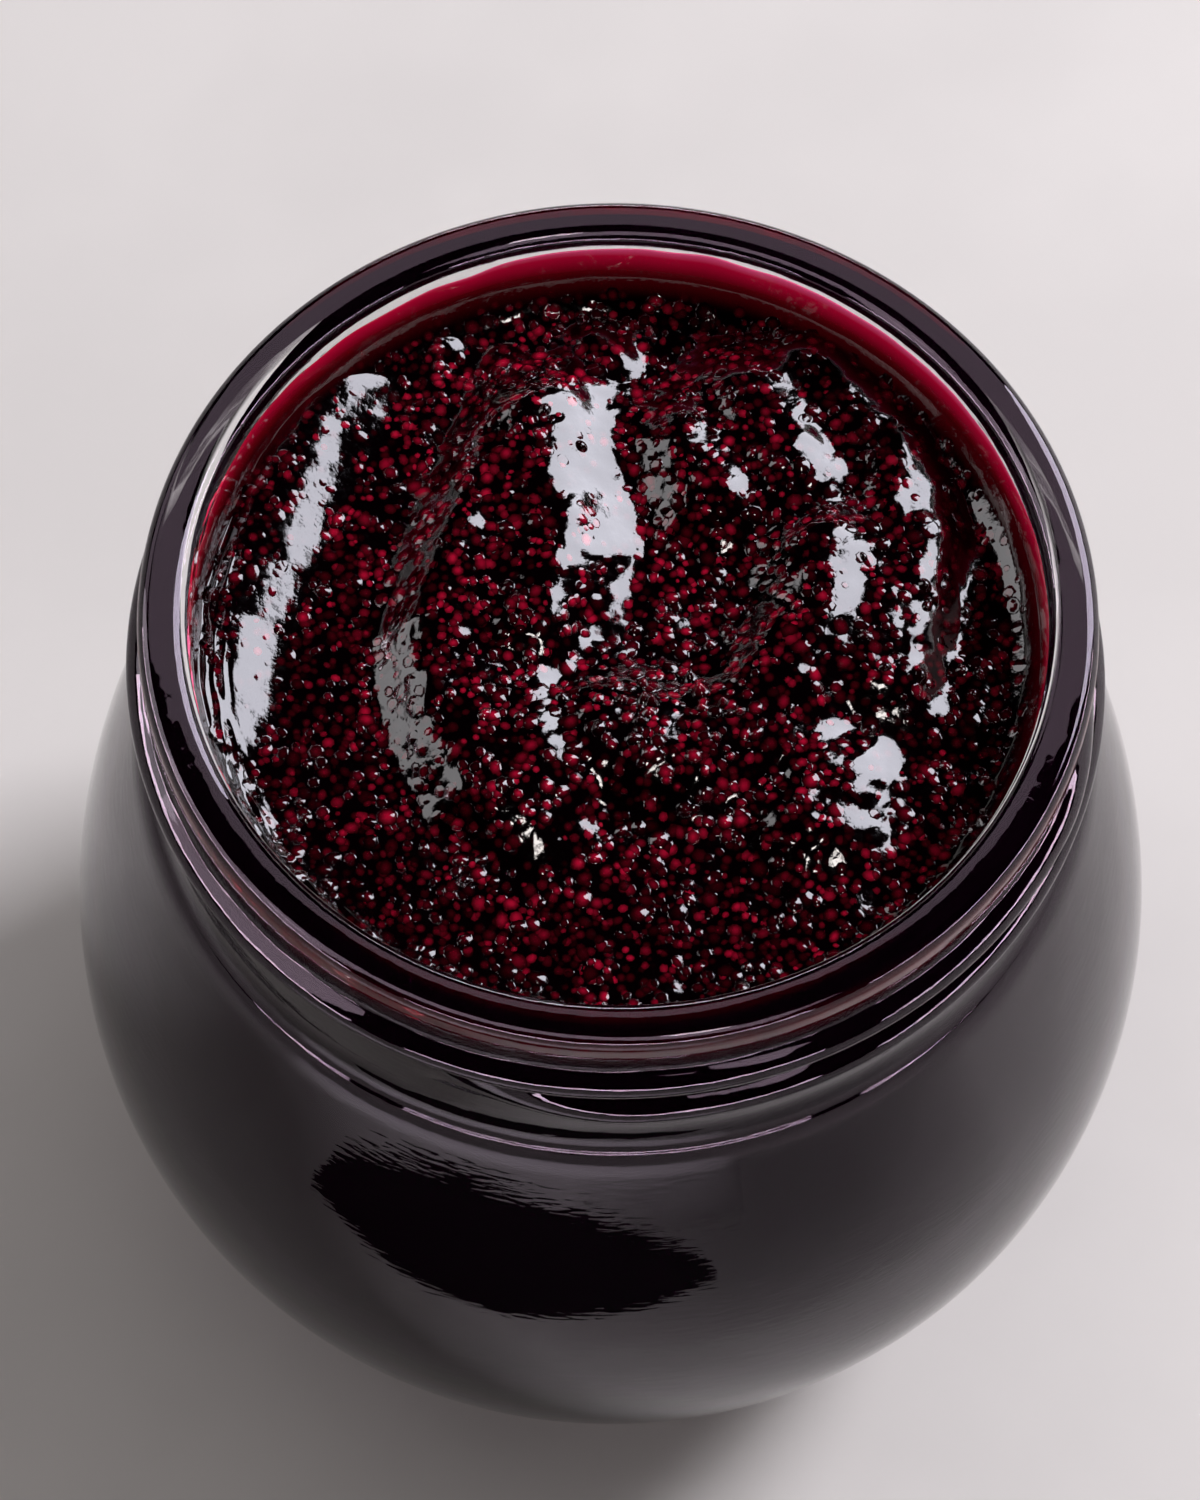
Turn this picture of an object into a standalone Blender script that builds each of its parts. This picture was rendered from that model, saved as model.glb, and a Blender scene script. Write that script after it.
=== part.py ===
"""A filled jar of elderberry syrup, standing open on its base.

The jar is a round tulip-shaped glass with a screw neck. The syrup is thick and
seedy, and lies in folds a few millimetres below the rim.

Frame: origin at the centre of the base on the floor, +Z up, metres.
"""
import math

import bmesh
import bpy

NAME = "jar_of_elderberry_syrup"
MM = 0.001

# Glass: heights above the floor and radii from the axis
HEIGHT = 97.0 * MM
BELLY_RADIUS = 50.0 * MM
BELLY_HEIGHT = 40.5 * MM
BELLY_SPAN = 40.0 * MM
BELLY_TAPER = 14.0 * MM
BELLY_LEAN = 5.0 * MM
HEEL_HEIGHT = 2.2 * MM
FOOT_RING_WIDTH = 2.4 * MM
PUSH_UP = 1.4 * MM
PUSH_UP_RAMP = 2.5 * MM
PUSH_UP_KNEE = 0.8
FLOOR_THICKNESS = 4.2 * MM
CAVITY_HEEL_HEIGHT = 9.0 * MM
WALL = 3.0 * MM

# Neck: the drops are measured down from the rim
MOUTH_RADIUS = 37.3 * MM
LIP_RADIUS = 41.6 * MM
LIP_DEPTH = 2.8 * MM
LIP_INNER_ROUND = 1.5 * MM
LIP_OUTER_ROUND = 1.3 * MM
LIP_UNDERCUT = 0.6 * MM
NECK_RADIUS = 41.2 * MM
NECK_DROP = 17.8 * MM
SHOULDER_DROP = 21.5 * MM
MOUTH_DROP = 13.0 * MM
HOLLOW_MEET = 0.1 * MM
HOLLOW_END = 255.0

# Screw thread, falling clockwise as seen from above
THREAD_RADIUS = 43.0 * MM
THREAD_TUBE = 1.45 * MM
THREAD_DROP = 6.2 * MM
THREAD_PITCH = 5.3 * MM
THREAD_START = math.radians(4.0)
THREAD_TURNS = 1.33
THREAD_RUN_OUT = 0.06
THREAD_END_SINK = 0.9 * MM
THREAD_END_SIZE = 0.55

# Syrup: levels are measured down from the rim
GLASS_GAP = 0.3 * MM
SYRUP_LEVEL = 8.2 * MM
EDGE_CLIMB = 3.2 * MM
EDGE_WIDTH = 5.0 * MM
EDGE_CURVE = 2.2
FOLD_BLEND = 0.6 * MM
FOLD_FULLNESS = 1.1
FOLD_SIDE_BLEND = 0.6
FOLD_BEND_BLEND = 0.7

# Folds of the syrup in mm: height, width on the left of the crest's run, width on its right,
# then the points of the crest (x, y) from far to near
FOLDS = (
    (2.9, 13.0, 6.4, ((-9.4, 22.0), (-13.6, 11.0), (-16.0, 1.0), (-15.0, -7.0), (-11.8, -14.0))),
    (3.3, 8.2, 7.0, ((-8.0, 22.5), (-7.0, 16.0), (-5.8, 9.5), (-8.2, 2.0))),
    (2.9, 9.5, 9.0, ((-1.0, -8.0), (6.5, -10.5), (12.0, -7.0))),
    (2.6, 6.5, 7.0, ((-8.6, -6.0), (-6.2, -12.0))),
    (3.5, 7.6, 9.0, ((14.2, -2.5), (17.4, 3.0), (18.0, 9.5))),
    (2.5, 7.4, 8.0, ((17.0, 29.0), (23.8, 20.5), (25.4, 12.0), (23.0, -1.5))),
    (2.8, 8.2, 9.0, ((12.0, 25.5), (15.4, 18.0))),
    (2.6, 7.2, 7.0, ((5.4, 21.0), (8.4, 15.5))),
    (2.0, 7.6, 9.0, ((18.4, -12.0), (17.4, -16.0))),
    (1.95, 8.2, 4.0, ((-27.4, 27.0), (-31.4, 16.0), (-35.4, 2.5), (-36.8, -9.0))),
    (0.8, 3.2, 3.4, ((-17.6, 33.5), (-16.6, 31.0))),
    (0.9, 3.2, 3.2, ((-2.2, 31.6), (-1.0, 29.6))),
    (0.8, 3.0, 3.0, ((-10.4, 28.4), (-10.0, 27.4))),
)

# Fineness of the solids
JAR_STEPS = 56
THREAD_STEPS = 48
SYRUP_STEPS = 68
SYRUP_RINGS = 24
BELLY_POINTS = 13
ARC_POINTS = 3


def collection(name):
    """A new collection in the scene."""
    made = bpy.data.collections.new(name)
    bpy.context.scene.collection.children.link(made)
    return made


def material(name, colour, roughness, metallic, alpha):
    """A Principled material."""
    made = bpy.data.materials.new(name)
    made.use_nodes = True
    shader = made.node_tree.nodes["Principled BSDF"]
    shader.inputs["Base Color"].default_value = (*colour, 1.0)
    shader.inputs["Roughness"].default_value = roughness
    shader.inputs["Metallic"].default_value = metallic
    shader.inputs["Alpha"].default_value = alpha
    made.diffuse_color = (*colour, alpha)
    return made


def smooth_step(value, low=0.0, high=1.0):
    """A rise from 0 to 1 with level ends, as the value goes from low to high."""
    t = min(max((value - low) / (high - low), 0.0), 1.0)
    return t * t * (3.0 - 2.0 * t)


def arc(centre, size, start, end, count):
    """Points along a quarter of an ellipse in the profile plane, from start to end in degrees."""
    points = []
    for step in range(count + 1):
        angle = math.radians(start + (end - start) * step / count)
        points.append((centre[0] + size[0] * math.cos(angle), centre[1] + size[1] * math.sin(angle)))
    return points


def belly_radius(height):
    """Outer radius of the body at a height above the floor."""
    rise = (height - BELLY_HEIGHT) / BELLY_SPAN
    return BELLY_RADIUS - BELLY_TAPER * rise ** 2 + BELLY_LEAN * rise ** 3


def belly_slope(height):
    """Change of the outer radius with height."""
    rise = (height - BELLY_HEIGHT) / BELLY_SPAN
    return (3.0 * BELLY_LEAN * rise ** 2 - 2.0 * BELLY_TAPER * rise) / BELLY_SPAN


def outer_wall(bottom, count):
    """Profile of the body's outside, from under the neck down to a height above the floor."""
    top = HEIGHT - SHOULDER_DROP
    heights = [top + (bottom - top) * step / (count - 1) for step in range(count)]
    return [(belly_radius(height), height) for height in heights]


def inner_wall():
    """Profile of the body's inside, one wall inwards from the outside, top to bottom."""
    points = []
    for radius, height in outer_wall(CAVITY_HEEL_HEIGHT, BELLY_POINTS - 2):
        slope = belly_slope(height)
        length = math.hypot(1.0, slope)
        points.append((radius - WALL / length, height + WALL * slope / length))
    return points


def heel(radius, height, slope, floor):
    """Rounding from a leaning wall down to a level floor, running on from the wall without a kink."""
    lean = math.atan(slope)
    size = (height - floor) / (1.0 - math.sin(lean))
    centre = (radius - size * math.cos(lean), floor + size)
    return arc(centre, (size, size), -math.degrees(lean), -90.0, ARC_POINTS)


def lip():
    """Profile over the rim, from the mouth's wall to the outer side of the neck."""
    inner = arc(
        (MOUTH_RADIUS + LIP_INNER_ROUND, HEIGHT - LIP_INNER_ROUND),
        (LIP_INNER_ROUND, LIP_INNER_ROUND), 180.0, 90.0, ARC_POINTS)
    outer = arc(
        (LIP_RADIUS - LIP_OUTER_ROUND, HEIGHT - LIP_OUTER_ROUND),
        (LIP_OUTER_ROUND, LIP_OUTER_ROUND), 90.0, 0.0, ARC_POINTS)
    return inner + outer + [(LIP_RADIUS, HEIGHT - LIP_DEPTH)]


def neck():
    """Profile of the neck's outside, with a hollow where it meets the shoulder."""
    shoulder = belly_radius(HEIGHT - SHOULDER_DROP)
    meet = shoulder + HOLLOW_MEET
    hollow = arc(
        (meet, HEIGHT - NECK_DROP),
        (meet - NECK_RADIUS, SHOULDER_DROP - NECK_DROP), 180.0, HOLLOW_END, ARC_POINTS)
    return [(NECK_RADIUS, HEIGHT - LIP_DEPTH - LIP_UNDERCUT)] + hollow


def base():
    """Profile under the jar: heel, foot ring and push-up, ending on the axis."""
    rounding = heel(belly_radius(HEEL_HEIGHT), HEEL_HEIGHT, belly_slope(HEEL_HEIGHT), 0.0)
    ring_inner = rounding[-1][0] - FOOT_RING_WIDTH
    knee = (ring_inner - PUSH_UP_RAMP, PUSH_UP * PUSH_UP_KNEE)
    return rounding[1:] + [(ring_inner, 0.0), knee, (0.0, PUSH_UP)]


def cavity():
    """Profile of the hollow inside the glass, from its floor on the axis up to the mouth."""
    floor = PUSH_UP + FLOOR_THICKNESS
    wall = inner_wall()
    foot_radius, foot_height = wall[-1]
    corner = heel(foot_radius, foot_height, belly_slope(CAVITY_HEEL_HEIGHT), floor)
    wall.extend(corner[1:])
    wall.reverse()
    throat = (MOUTH_RADIUS, HEIGHT - MOUTH_DROP)
    return [(0.0, floor)] + wall + [throat]


def jar_profile():
    """Whole profile of the glass, from its inner floor over the rim to the middle of the base."""
    return cavity() + lip() + neck() + outer_wall(HEEL_HEIGHT, BELLY_POINTS) + base()


def turned(name, profile, steps, home):
    """A closed turned solid from a profile in the XZ plane."""
    mesh = bpy.data.meshes.new(name)
    points = [(radius, 0.0, height) for radius, height in profile]
    edges = [(index, index + 1) for index in range(len(points) - 1)]
    mesh.from_pydata(points, edges, [])
    thing = bpy.data.objects.new(name, mesh)
    home.objects.link(thing)
    screw = thing.modifiers.new("Turn", "SCREW")
    screw.steps = steps
    screw.render_steps = steps
    screw.use_merge_vertices = True
    screw.merge_threshold = 0.00001
    screw.use_smooth_shade = True
    return thing


def baked(thing, home):
    """The object with its modifiers applied, or a curve made into a welded mesh."""
    name = thing.name
    bpy.context.view_layer.update()
    graph = bpy.context.evaluated_depsgraph_get()
    mesh = bpy.data.meshes.new_from_object(thing.evaluated_get(graph))
    made = bpy.data.objects.new(name + "_made", mesh)
    made.matrix_world = thing.matrix_world
    home.objects.link(made)
    bpy.data.objects.remove(thing)
    made.name = name
    shell = bmesh.new()
    shell.from_mesh(mesh)
    bmesh.ops.remove_doubles(shell, verts=shell.verts, dist=0.000001)
    shell.to_mesh(mesh)
    shell.free()
    return made


def thread(home):
    """The screw thread: a tube wound round the neck that thins out at both ends."""
    count = int(THREAD_STEPS * THREAD_TURNS)
    curve = bpy.data.curves.new("thread", "CURVE")
    curve.dimensions = "3D"
    curve.bevel_depth = THREAD_TUBE
    curve.bevel_resolution = 2
    curve.use_fill_caps = True
    line = curve.splines.new("POLY")
    line.points.add(count)
    for index, point in enumerate(line.points):
        part = index / count
        turn = THREAD_TURNS * part
        angle = THREAD_START - math.tau * turn
        fade = smooth_step(min(part, 1.0 - part) / THREAD_RUN_OUT)
        radius = THREAD_RADIUS - THREAD_TUBE - (1.0 - fade) * THREAD_END_SINK
        height = HEIGHT - THREAD_DROP - THREAD_PITCH * turn
        point.co = (radius * math.cos(angle), radius * math.sin(angle), height, 1.0)
        point.radius = THREAD_END_SIZE + (1.0 - THREAD_END_SIZE) * fade
    thing = bpy.data.objects.new("thread_tube", curve)
    home.objects.link(thing)
    made = baked(thing, home)
    made.hide_render = True
    made.display_type = "WIRE"
    return made


def jar(home, helpers):
    """The glass with its thread."""
    glass = turned("jar", jar_profile(), JAR_STEPS, home)
    union = glass.modifiers.new("Thread", "BOOLEAN")
    union.operation = "UNION"
    union.solver = "EXACT"
    union.object = thread(helpers)
    glass.data.materials.append(material("glass", (0.30, 0.27, 0.29), 0.05, 0.0, 0.45))
    return glass


def crest_distance(x, y, crest):
    """Distance from a point to a bent line seen from above, and the side: 1 left of its run, -1 right."""
    found = []
    for (x0, y0), (x1, y1) in zip(crest, crest[1:]):
        run_x = x1 - x0
        run_y = y1 - y0
        along = ((x - x0) * run_x + (y - y0) * run_y) / (run_x * run_x + run_y * run_y)
        along = min(max(along, 0.0), 1.0)
        off_x = x - x0 - along * run_x
        off_y = y - y0 - along * run_y
        distance = math.hypot(off_x, off_y)
        across = (run_x * off_y - run_y * off_x) / math.hypot(run_x, run_y)
        found.append((distance, across / max(distance, 1e-6)))
    nearest = min(distance for distance, _ in found)
    weights = [math.exp((nearest - distance) / FOLD_BEND_BLEND) for distance, _ in found]
    total = sum(weight * sine for weight, (_, sine) in zip(weights, found))
    return nearest, total / sum(weights)


def fold_height(x, y):
    """Height of the folds over the syrup's level: rounded crests that melt into each other."""
    total = 0.0
    for height, left, right, crest in FOLDS:
        distance, side = crest_distance(x / MM, y / MM, crest)
        width = right + (left - right) * smooth_step(side, -FOLD_SIDE_BLEND, FOLD_SIDE_BLEND)
        if distance < width:
            across = (distance / width) ** FOLD_FULLNESS
            rise = height * MM * math.cos(0.5 * math.pi * across) ** 2
            total += math.exp(rise / FOLD_BLEND) - 1.0
    return FOLD_BLEND * math.log(1.0 + total)


def surface_height(x, y):
    """Height of the syrup's surface above the floor, rising to the glass at its edge."""
    radius = math.hypot(x, y)
    edge = (radius - (MOUTH_RADIUS - GLASS_GAP - EDGE_WIDTH)) / EDGE_WIDTH
    climb = EDGE_CLIMB * max(edge, 0.0) ** EDGE_CURVE
    return HEIGHT - SYRUP_LEVEL + max(fold_height(x, y), climb)


def syrup_profile():
    """Profile of the syrup's core: rings over the top, then down inside the glass."""
    edge = MOUTH_RADIUS - GLASS_GAP
    level = HEIGHT - SYRUP_LEVEL + EDGE_CLIMB
    top = [(edge * ring / SYRUP_RINGS, level) for ring in range(SYRUP_RINGS + 1)]
    wall = [(radius, height) for radius, height in cavity() if radius > 0.0]
    wall.reverse()
    side = []
    for index, (radius, height) in enumerate(wall):
        before = wall[max(index - 1, 0)]
        after = wall[min(index + 1, len(wall) - 1)]
        run = math.hypot(after[0] - before[0], after[1] - before[1])
        inwards = (after[1] - before[1]) / run
        upwards = (before[0] - after[0]) / run
        side.append((radius + GLASS_GAP * inwards, height + GLASS_GAP * upwards))
    return top + side + [(0.0, side[-1][1])]


def syrup(home):
    """The syrup: a turned core whose top is raised into folds."""
    core = turned("syrup", syrup_profile(), SYRUP_STEPS, home)
    filling = baked(core, home)
    level = HEIGHT - SYRUP_LEVEL + EDGE_CLIMB
    for vertex in filling.data.vertices:
        if abs(vertex.co.z - level) < 0.01 * MM:
            vertex.co.z = surface_height(vertex.co.x, vertex.co.y)
    filling.data.materials.append(material("syrup", (0.06, 0.002, 0.012), 0.12, 0.0, 1.0))
    filling.data.shade_smooth()
    return filling


def main():
    for thing in list(bpy.data.objects):
        bpy.data.objects.remove(thing)
    home = collection(NAME)
    helpers = collection("cutters")
    jar(home, helpers)
    syrup(home)


if __name__ == "__main__":
    main()
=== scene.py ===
"""Dresses a jar of elderberry syrup: clear glass with a screw neck, filled with thick seedy syrup.

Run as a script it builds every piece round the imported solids. Lengths are metres, +Z is up,
and the origin is the middle of the base.
"""

import bpy
import numpy as np
from bpy.props import FloatProperty, FloatVectorProperty, IntProperty, PointerProperty
from mathutils import Euler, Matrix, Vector


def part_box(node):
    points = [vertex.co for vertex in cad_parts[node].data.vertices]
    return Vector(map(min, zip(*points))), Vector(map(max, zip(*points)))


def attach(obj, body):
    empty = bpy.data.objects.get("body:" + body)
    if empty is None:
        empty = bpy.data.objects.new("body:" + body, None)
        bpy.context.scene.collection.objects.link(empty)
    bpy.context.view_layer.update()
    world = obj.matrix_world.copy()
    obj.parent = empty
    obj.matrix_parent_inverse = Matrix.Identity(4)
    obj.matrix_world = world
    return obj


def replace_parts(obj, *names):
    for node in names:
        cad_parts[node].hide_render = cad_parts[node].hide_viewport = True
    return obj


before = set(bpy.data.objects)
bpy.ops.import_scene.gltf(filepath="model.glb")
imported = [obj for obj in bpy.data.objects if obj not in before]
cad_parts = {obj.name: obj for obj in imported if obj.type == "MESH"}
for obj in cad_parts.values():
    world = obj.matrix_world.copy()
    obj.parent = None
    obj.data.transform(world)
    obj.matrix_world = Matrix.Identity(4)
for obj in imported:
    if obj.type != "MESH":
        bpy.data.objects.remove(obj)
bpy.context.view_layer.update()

bl_info = {
    "name": "Elderberry Syrup Jar",
    "version": (1, 0, 0),
    "blender": (4, 5, 0),
    "location": "3D View > Sidebar > Syrup Jar",
    "description": "Builds an open jar filled with thick, seedy elderberry syrup",
    "category": "Object",
}

MM = 0.001
GLASS_NAME = "jar_glass"
BLACK = (0.0, 0.0, 0.0, 1.0)
JAR_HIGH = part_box("jar")[1]  # upper corner of the solid jar
CAP_SINK = 0.02 * MM  # how far the edges of seeds and smears reach into what carries them
WINDOW_FACING = (0.35, 0.04, 0.935)  # normal of the flanks that mirror the window to the camera
LIT_POINT = Vector((0.0, 0.0, 0.07))  # what the lights look at
CAMERA_PLACE = (-0.00131, -0.25206, 0.56172)
CAMERA_TURN = (27.13, 0.0, 1.362)  # degrees round x, y and z, the last first

# Folds of the syrup in mm: height, width on the left of the crest's run, width on its right,
# then the points of the crest (x, y) from far to near
FOLDS = (
    (2.9, 13.0, 6.4, ((-9.4, 22.0), (-13.6, 11.0), (-16.0, 1.0), (-15.0, -7.0), (-11.8, -14.0))),
    (3.3, 8.2, 7.0, ((-8.0, 22.5), (-7.0, 16.0), (-5.8, 9.5), (-8.2, 2.0))),
    (2.9, 9.5, 9.0, ((-1.0, -8.0), (6.5, -10.5), (12.0, -7.0))),
    (2.6, 6.5, 7.0, ((-8.6, -6.0), (-6.2, -12.0))),
    (3.5, 7.6, 9.0, ((14.2, -2.5), (17.4, 3.0), (18.0, 9.5))),
    (2.5, 7.4, 8.0, ((17.0, 29.0), (23.8, 20.5), (25.4, 12.0), (23.0, -1.5))),
    (2.8, 8.2, 9.0, ((12.0, 25.5), (15.4, 18.0))),
    (2.6, 7.2, 7.0, ((5.4, 21.0), (8.4, 15.5))),
    (2.0, 7.6, 9.0, ((18.4, -12.0), (17.4, -16.0))),
    (1.95, 8.2, 4.0, ((-27.4, 27.0), (-31.4, 16.0), (-35.4, 2.5), (-36.8, -9.0))),
    (0.8, 3.2, 3.4, ((-17.6, 33.5), (-16.6, 31.0))),
    (0.9, 3.2, 3.2, ((-2.2, 31.6), (-1.0, 29.6))),
    (0.8, 3.0, 3.0, ((-10.4, 28.4), (-10.0, 27.4))),
)


# Sizes and colours

def length(name, text, value):
    """A size property, given in mm and kept in metres."""
    return FloatProperty(name=name, description=text, default=value * MM, unit="LENGTH", precision=5)


def number(name, text, value):
    """A plain number property."""
    return FloatProperty(name=name, description=text, default=value)


def whole(name, text, value):
    """A whole number property."""
    return IntProperty(name=name, description=text, default=value)


def colour(name, text, value):
    """A colour property in linear values."""
    return FloatVectorProperty(
        name=name, description=text, default=value, subtype="COLOR", size=3, min=0.0, max=1.0)


class JarGlassSizes(bpy.types.PropertyGroup):
    """Sizes and finish of the glass."""

    height: length("Height", "Height of the rim over the floor", JAR_HIGH.z / MM)
    belly_radius: length("Belly radius", "Widest radius of the body", 50.0)
    belly_height: length("Belly height", "Height of the widest part", 40.5)
    belly_span: length("Belly span", "Height over which the body tapers", 40.0)
    belly_taper: length("Belly taper", "How far the body draws in over one span", 14.0)
    belly_lean: length("Belly lean", "How much sooner the lower body draws in", 5.0)
    heel_height: length("Heel height", "Height of the rounding at the base", 2.2)
    foot_ring: length("Foot ring", "Width of the ring it stands on", 2.4)
    push_up: length("Push-up", "Rise of the base inside the foot ring", 1.4)
    floor_thickness: length("Floor thickness", "Glass under the filling", 4.2)
    cavity_heel: length("Cavity heel", "Height of the rounding inside", 9.0)
    wall: length("Wall", "Thickness of the body's glass", 3.0)
    mouth_radius: length("Mouth radius", "Inner radius of the neck", 37.3)
    mouth_drop: length("Mouth drop", "Depth of the mouth's straight wall", 13.0)
    lip_radius: length("Lip radius", "Outer radius of the rim", 41.6)
    lip_depth: length("Lip depth", "Height of the rim's outer side", 2.8)
    lip_inner_round: length("Lip inner round", "Rounding of the rim on the inside", 1.5)
    lip_outer_round: length("Lip outer round", "Rounding of the rim on the outside", 1.3)
    neck_radius: length("Neck radius", "Outer radius of the neck", 41.2)
    neck_drop: length("Neck drop", "Start of the neck's flare below the rim", 17.8)
    shoulder_drop: length("Shoulder drop", "Start of the body below the rim", 21.5)
    thread_proud: length("Thread height", "How far it stands out of the neck", 1.8)
    thread_half_width: length("Thread half width", "Half the thread's width at its foot", 1.85)
    thread_drop: length("Thread drop", "Start of the thread below the rim", 6.2)
    thread_pitch: length("Thread pitch", "Fall of the thread in one turn", 5.3)
    thread_start: FloatProperty(
        name="Thread start", description="Direction in which the thread starts",
        default=np.radians(4.0), subtype="ANGLE")
    thread_turns: number("Thread turns", "Turns of the thread", 1.33)
    thread_run_out: number("Thread run-out", "Share of the thread that fades at each end", 0.06)
    tint: colour("Tint", "Colour of the glass", (0.965, 0.955, 0.965))
    columns: whole("Columns", "Steps round the glass", 360)


class SyrupSizes(bpy.types.PropertyGroup):
    """Sizes and colours of the syrup."""

    level: length("Level", "Depth of the level surface below the rim", 8.2)
    edge_climb: length("Edge climb", "Rise of the surface at the glass", 3.2)
    edge_width: length("Edge width", "Width of the rising edge", 5.0)
    fold_blend: length("Fold blend", "How softly the folds melt into each other", 0.6)
    overlap: length("Overlap", "How far the filling reaches into the wall", 0.05)
    film_drop: length("Film drop", "Top of the wet film below the rim", 1.9)
    film_thickness: length("Film thickness", "Thickness of the wet film at its foot", 0.35)
    ripple: length("Ripple", "Height of the small ripples", 0.07)
    dark: colour("Dark syrup", "Colour of deep syrup", (0.0009, 0.0001, 0.0004))
    plum: colour("Plum", "Colour of deep syrup behind the glass", (0.0022, 0.0003, 0.0016))
    # Shallow, film and thin colours are the syrup's colour where it lies thin, and they also drive a painted
    # glow of light coming in through the glass.
    shallow: colour("Shallow syrup", "Colour of syrup where it thins", (0.075, 0.0006, 0.003))
    film: colour("Film", "Colour of the film on the glass", (0.34, 0.002, 0.025))
    thin: colour("Thin film", "Colour of the thinnest film", (0.62, 0.07, 0.19))
    glow: colour("Seed red", "Colour of seeds near the surface", (0.40, 0.004, 0.026))
    columns: whole("Columns", "Steps round the syrup", 470)
    rings: whole("Rings", "Rings over the surface", 155)
    film_rows: whole("Film rows", "Rows up the wet film", 16)


class SeedSizes(bpy.types.PropertyGroup):
    """Sizes of the seeds, bubbles and smears on the syrup."""

    spacing: length("Spacing", "Distance between bright seeds", 1.38)
    reach: length("Reach", "Middling radius of a bright seed", 0.80)
    rise: length("Rise", "Middling height of a bright seed", 0.10)
    fine_spacing: length("Fine spacing", "Distance between sunken seeds", 1.12)
    fine_reach: length("Fine reach", "Middling radius of a sunken seed", 0.68)
    fine_rise: length("Fine rise", "Middling height of a sunken seed", 0.035)
    spread: number("Spread", "How uneven the seeds' sizes are", 0.20)
    bubbles: whole("Bubbles", "Number of bubbles", 16)
    smears: whole("Smears", "Number of smears on the glass", 54)
    seed: whole("Seed", "Start of the random draw", 7)


class StudioSizes(bpy.types.PropertyGroup):
    """Floor, lights and camera."""

    floor_radius: length("Floor radius", "Radius of the level floor", 1100.0)
    wall_height: length("Wall height", "Height of the floor's turned-up edge", 360.0)
    floor_colour: colour("Floor colour", "Colour of the pale floor", (0.785, 0.75, 0.705))
    key_power: number("Key", "Brightness of the light on the floor", 33.0)
    fill_power: number("Fill", "Brightness of the wide light overhead", 0.6)
    window_power: number("Window", "Brightness of the window in reflections", 10.5)
    left_power: number("Left window", "Brightness of the window on the left", 2.8)
    strip_power: number("Strips", "Brightness of the four long strips", 14.0)
    panel_power: number("Panel", "Brightness of the panels over the lip", 2.6)
    lamp_power: number("Lamp", "Brightness of the small lamp overhead", 18.0)
    ambient: number("Ambient", "Brightness of the room on the floor", 0.13)
    lens: number("Lens", "Focal length in mm", 146.95)


# Meshes from arrays

def add_mesh(name, points, corners, sizes):
    """A smooth mesh from points, the corners of all faces in a row, and each face's count of them."""
    mesh = bpy.data.meshes.new(name)
    mesh.vertices.add(len(points))
    mesh.vertices.foreach_set("co", np.ascontiguousarray(points, np.float32).ravel())
    mesh.loops.add(len(corners))
    mesh.loops.foreach_set("vertex_index", np.ascontiguousarray(corners, np.int32))
    mesh.polygons.add(len(sizes))
    starts = (np.cumsum(sizes) - sizes).astype(np.int32)
    mesh.polygons.foreach_set("loop_start", starts)
    mesh.update(calc_edges=True)
    mesh.shade_smooth()
    piece = bpy.data.objects.new(name, mesh)
    bpy.context.scene.collection.objects.link(piece)
    return piece


def round_faces(rows, columns):
    """Corners and face sizes of a ball-like grid: a fan at each pole and quads between.

    Point 0 is the first pole, then come the rows of points and the last pole. A profile that runs
    over the top and down the outside has its faces outwards.
    """
    column = np.arange(columns)
    after = (column + 1) % columns
    row = np.arange(rows - 1)[:, None] * columns + 1
    quads = np.stack((row + column, row + columns + column, row + columns + after, row + after), -1)
    top = np.stack((np.zeros(columns, int), column + 1, after + 1), -1)
    last = (rows - 1) * columns + 1
    end = np.full(columns, rows * columns + 1)
    bottom = np.stack((last + column, end, last + after), -1)
    corners = np.concatenate((top.ravel(), quads.ravel(), bottom.ravel()))
    sizes = np.repeat((3, 4, 3), (columns, quads.size // 4, columns))
    return corners, sizes


def with_poles(grid):
    """Grids of ball-like shapes as rows of points. Their first and last rows are poles."""
    between = grid[:, 1:-1].reshape(len(grid), -1, *grid.shape[3:])
    return np.concatenate((grid[:, :1].mean(2), between, grid[:, -1:].mean(2)), 1)


def many_round(name, grid):
    """One mesh of closed ball-like shapes, each a grid of points."""
    count, rows, columns = grid.shape[:3]
    points = with_poles(grid)
    corners, sizes = round_faces(rows - 2, columns)
    offset = points.shape[1] * np.arange(count)[:, None]
    return add_mesh(name, points.reshape(-1, 3), (corners + offset).ravel(), np.tile(sizes, count))


def add_values(piece, name, values):
    """Puts one number per point on the piece, for its material."""
    layer = piece.data.attributes.new(name, "FLOAT", "POINT")
    layer.data.foreach_set("value", np.ascontiguousarray(values, np.float32).ravel())


def add_many(piece, name, grid):
    """Puts values on a piece that many_round made, from a grid like its own."""
    add_values(piece, name, with_poles(grid))


def steps_round(columns):
    """Angles of equal steps round a full turn."""
    return np.linspace(0.0, 2.0 * np.pi, columns, endpoint=False)


def turned(radius, angle, height):
    """Points from their distance from the axis, direction and height."""
    return np.stack(np.broadcast_arrays(radius * np.cos(angle), radius * np.sin(angle), height), -1)


def cap_grid(rows, columns):
    """Distance from the middle, 0 to 1 and then 0 for the pole below, and direction."""
    distance = np.concatenate((np.linspace(0.0, 1.0, rows + 1), [0.0]))
    return distance[None, :, None], steps_round(columns)[None, None, :]


def smooth_step(value, low=0.0, high=1.0):
    """Rise from 0 to 1 between low and high: 3t^2 - 2t^3."""
    t = np.clip((value - low) / (high - low), 0.0, 1.0)
    return t * t * (3.0 - 2.0 * t)


def band(value, low, full, falling, end):
    """Rise from 0 to 1 between low and full, and fall back to 0 from falling to end."""
    return smooth_step(value, low, full) * (1.0 - smooth_step(value, falling, end))


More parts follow.
